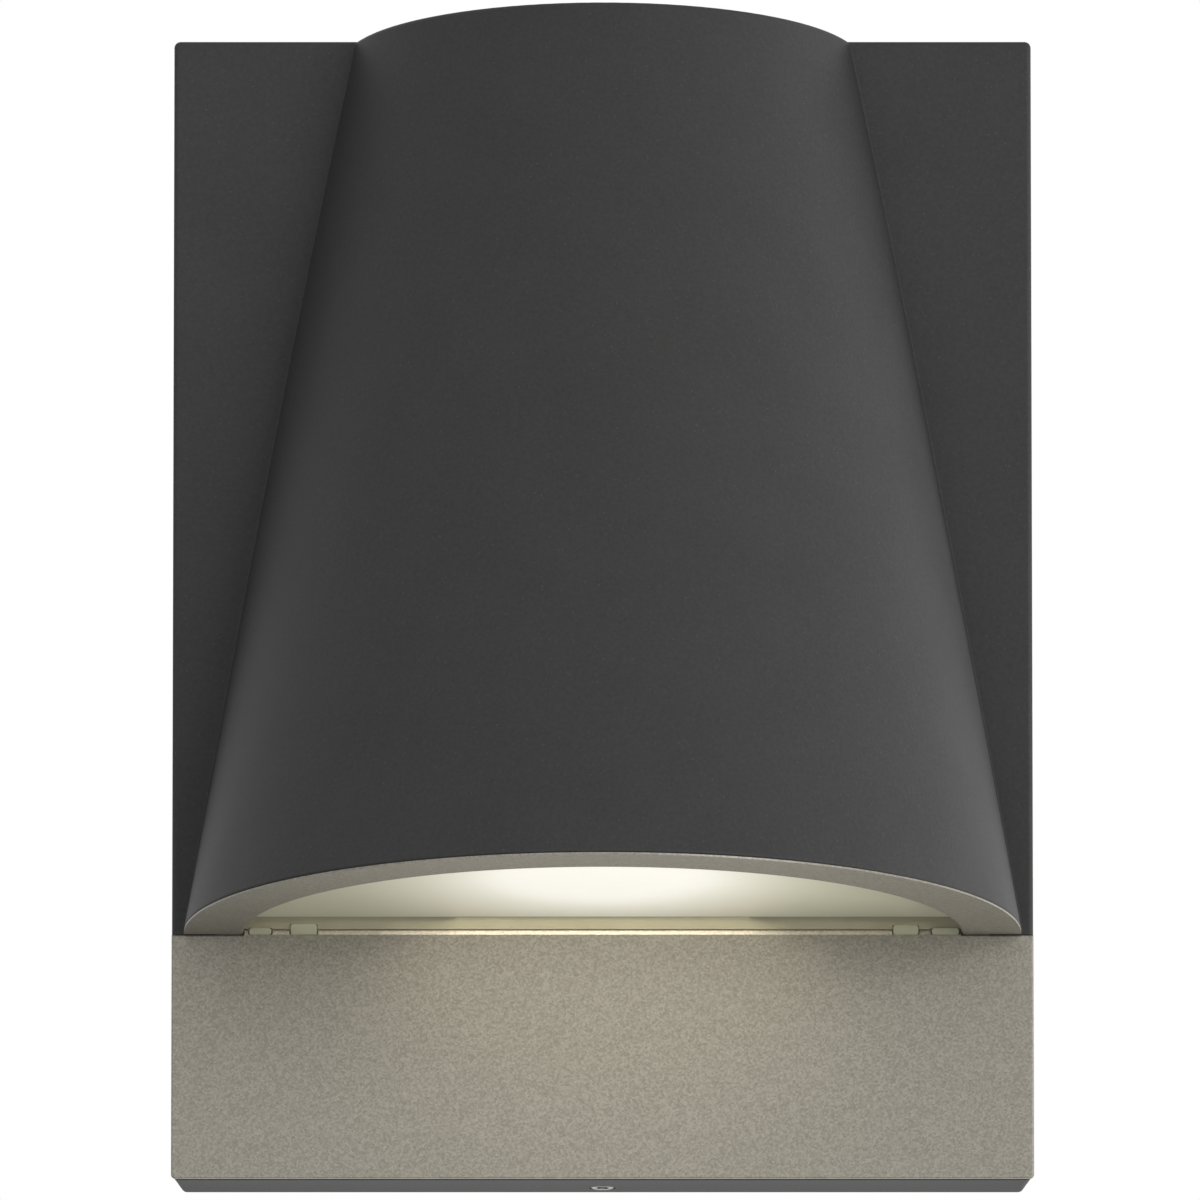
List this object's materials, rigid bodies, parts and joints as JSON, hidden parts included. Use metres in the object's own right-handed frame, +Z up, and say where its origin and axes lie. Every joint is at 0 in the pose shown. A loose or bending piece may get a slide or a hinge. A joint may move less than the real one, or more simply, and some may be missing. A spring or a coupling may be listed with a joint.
{
  "type": "wall light",
  "caption": "Outdoor downward wall light: a charcoal back box with a tapered half-round hood, a satin glass lens in a D-shaped frame and a champagne lower panel.",
  "frame": {"origin": "middle of the two wall screw slots, on the wall plane", "axes": "+X to the right seen from the front, +Y into the wall, +Z up"},
  "size_m": [0.135, 0.0849, 0.1824],
  "materials": {
    "charcoal_powder_coat": "fine-texture matt powder coat",
    "champagne_powder_coat": "metallic champagne-grey powder coat",
    "satin_glass": "satin etched",
    "grey_silicone": "matt",
    "clear_silicone": "translucent",
    "black_foam": "matt foam",
    "black_rubber": "matt",
    "zinc_plated_steel": "zinc plated",
    "green_screw": "green plated",
    "stainless_steel": "bright",
    "plain_aluminium": "mill finish",
    "thermal_pad_grey": "matt",
    "white_board": "white solder mask",
    "warm_white_led": "phosphor",
    "white_plastic": "matt white",
    "driver_case": "matt",
    "terminal_plastic": "matt",
    "brass": "plain",
    "brown_sleeve": "pvc",
    "blue_sleeve": "pvc",
    "green_yellow_sleeve": "pvc",
    "red_sleeve": "pvc",
    "black_sleeve": "pvc"
  },
  "bodies": {
    "bracket": {"wall_bracket": "zinc_plated_steel", "bracket_earth_screw": "green_screw"},
    "light": {"back_cover": "plain_aluminium", "bezel_screws": "stainless_steel", "cable_grommet": "black_rubber", "cover_gasket": "grey_silicone", "cover_screws": "stainless_steel", "driver": "driver_case", "driver_screws": "stainless_steel", "earth_lead": "green_yellow_sleeve", "earth_screw": "green_screw", "heat_plate": "plain_aluminium", "heat_plate_screws": "stainless_steel", "housing": "charcoal_powder_coat", "led_board": "white_board", "led_board_screws": "stainless_steel", "led_chips": "warm_white_led", "led_lead_negative": "black_sleeve", "led_lead_positive": "red_sleeve", "lens_bezel": "champagne_powder_coat", "lens_gasket": "clear_silicone", "lens_glass": "satin_glass", "lens_pads": "clear_silicone", "live_lead": "brown_sleeve", "lower_panel": "champagne_powder_coat", "neutral_lead": "blue_sleeve", "panel_screws": "stainless_steel", "reflector": "white_plastic", "terminal_block": "terminal_plastic", "terminal_screws": "brass", "thermal_pad": "thermal_pad_grey", "wall_gasket": "black_foam"},
    "lock": {"lock_screw": "stainless_steel"}
  },
  "joints": [
    {"name": "light_pull_off", "type": "slide", "parent": "bracket", "child": "light", "axis": [0, -1, 0], "range_m": [0, 0.03]},
    {"name": "lock_screw_back_out", "type": "slide", "parent": "light", "child": "lock", "axis": [0, 0, -1], "range_m": [0, 0.006]}
  ]
}
